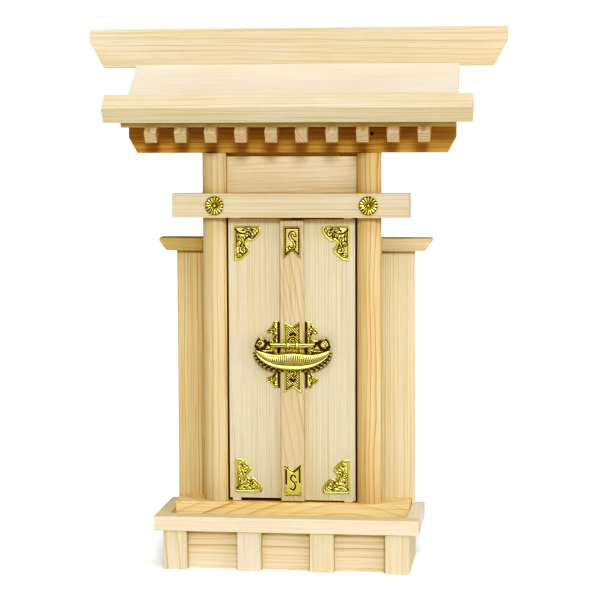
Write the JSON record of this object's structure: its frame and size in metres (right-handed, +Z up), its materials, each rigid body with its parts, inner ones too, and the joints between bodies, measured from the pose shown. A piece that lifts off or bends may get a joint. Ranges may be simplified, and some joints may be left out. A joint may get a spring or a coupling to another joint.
{
  "type": "household altar cabinet",
  "caption": "Plain wooden household shrine cabinet with a sloping front roof, half-round pillars, two hinged doors, pressed brass fittings and a crescent lock on a railed base.",
  "frame": {"origin": "centre of the footprint's bounding box, on the underside", "axes": "+Z up, the doors face -Y, +X to the viewer's right"},
  "size_m": [0.3978, 0.1094, 0.5006],
  "materials": {
    "pale_wood": "bare planed cypress",
    "pressed_brass": "bright pressed sheet"
  },
  "bodies": {
    "cabinet": {"base_post_1": "pale_wood", "base_post_2": "pale_wood", "base_post_3": "pale_wood", "base_post_4": "pale_wood", "base_side_left": "pale_wood", "base_side_right": "pale_wood", "base_front_panel": "pale_wood", "base_back_panel": "pale_wood", "tray_front_rail": "pale_wood", "tray_left_rail": "pale_wood", "tray_right_rail": "pale_wood", "tray_deck": "pale_wood", "floor_board": "pale_wood", "pillar_left": "pale_wood", "cabinet_side_left": "pale_wood", "wing_panel_left": "pale_wood", "wing_cap_left": "pale_wood", "pillar_right": "pale_wood", "cabinet_side_right": "pale_wood", "wing_panel_right": "pale_wood", "wing_cap_right": "pale_wood", "tie_board": "pale_wood", "upper_panel": "pale_wood", "rafter_01": "pale_wood", "rafter_02": "pale_wood", "rafter_03": "pale_wood", "rafter_04": "pale_wood", "rafter_05": "pale_wood", "rafter_06": "pale_wood", "rafter_07": "pale_wood", "rafter_08": "pale_wood", "rafter_09": "pale_wood", "rafter_10": "pale_wood", "roof_sheet": "pale_wood", "eave_board": "pale_wood", "eave_beam": "pale_wood", "back_board": "pale_wood", "ridge_beam": "pale_wood", "rosette_left": "pressed_brass", "rosette_right": "pressed_brass"},
    "left_door": {"left_door_leaf": "pale_wood", "left_pin_top": "pressed_brass", "left_pin_foot": "pressed_brass", "corner_plate_left_top": "pressed_brass", "corner_plate_left_foot": "pressed_brass", "lock_side_plate_left": "pressed_brass"},
    "right_door": {"right_door_leaf": "pale_wood", "door_stile": "pale_wood", "right_pin_top": "pressed_brass", "right_pin_foot": "pressed_brass", "corner_plate_right_top": "pressed_brass", "corner_plate_right_foot": "pressed_brass", "lock_side_plate_right": "pressed_brass", "stile_plate_top": "pressed_brass", "stile_plate_foot": "pressed_brass", "stile_plate_centre": "pressed_brass", "lock_body": "pressed_brass", "lock_backplate": "pressed_brass", "lock_bolt": "pressed_brass"}
  },
  "joints": [
    {"name": "right_door_hinge", "type": "hinge", "parent": "cabinet", "child": "right_door", "pos_m": [0.053, 0.0021, 0.19], "axis": [0, 0, 1], "range_deg": [0, 110]},
    {"name": "left_door_hinge", "type": "hinge", "parent": "cabinet", "child": "left_door", "pos_m": [-0.053, 0.0021, 0.19], "axis": [0, 0, -1], "range_deg": [0, 110]}
  ],
  "couplings": [
    {"joint": "left_door_hinge", "follows": "right_door_hinge", "ratio": 1}
  ]
}
